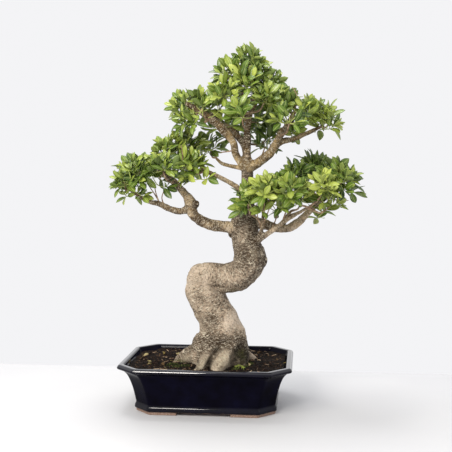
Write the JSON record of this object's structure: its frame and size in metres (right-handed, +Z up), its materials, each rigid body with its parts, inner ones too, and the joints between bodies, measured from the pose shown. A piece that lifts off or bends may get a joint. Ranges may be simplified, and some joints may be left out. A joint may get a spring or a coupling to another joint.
{
  "type": "chinese banyan bonsai in a pot",
  "caption": "Small-leaved fig tree grown as a bonsai, with a curved trunk, surface roots and layered leafy pads, planted in soil in a dark blue glazed pot with cut corners and feet.",
  "frame": {"origin": "on the ground, under the middle of the whole outline, leaf tips included", "axes": "+Z up, the front of the tree looks along -Y, +X to the right seen from the front"},
  "size_m": [0.577, 0.29, 0.8462],
  "materials": {
    "blue_glaze": "glossy very dark blue glaze, bare brown clay under the feet",
    "black_plastic": "matt black netting",
    "soil": "crumbly dark brown soil",
    "bark": "grey-tan bark with pale specks, browner above",
    "leaf": "glossy mid-green leaves on green twigs"
  },
  "bodies": {
    "root": {"pot": "blue_glaze", "drain_screen_left": "black_plastic", "drain_screen_right": "black_plastic", "soil": "soil", "trunk": "bark", "spray_left_01": "leaf", "spray_left_02": "leaf", "spray_left_03": "leaf", "spray_left_04": "leaf", "spray_left_05": "leaf", "spray_left_06": "leaf", "spray_left_07": "leaf", "spray_left_08": "leaf", "spray_left_09": "leaf", "spray_left_10": "leaf", "spray_crown_01": "leaf", "spray_crown_02": "leaf", "spray_crown_03": "leaf", "spray_crown_04": "leaf", "spray_crown_05": "leaf", "spray_crown_06": "leaf", "spray_crown_07": "leaf", "spray_crown_08": "leaf", "spray_crown_09": "leaf", "spray_crown_10": "leaf", "spray_crown_11": "leaf", "spray_crown_12": "leaf", "spray_crown_13": "leaf", "spray_crown_14": "leaf", "spray_crown_15": "leaf", "spray_crown_16": "leaf", "spray_crown_17": "leaf", "spray_crown_18": "leaf", "spray_crown_19": "leaf", "spray_crown_20": "leaf", "spray_right_01": "leaf", "spray_right_02": "leaf", "spray_right_03": "leaf", "spray_right_04": "leaf", "spray_right_05": "leaf", "spray_right_06": "leaf", "spray_right_07": "leaf", "spray_right_08": "leaf", "spray_right_09": "leaf", "spray_right_10": "leaf", "spray_right_11": "leaf", "spray_right_12": "leaf"}
  },
  "joints": []
}
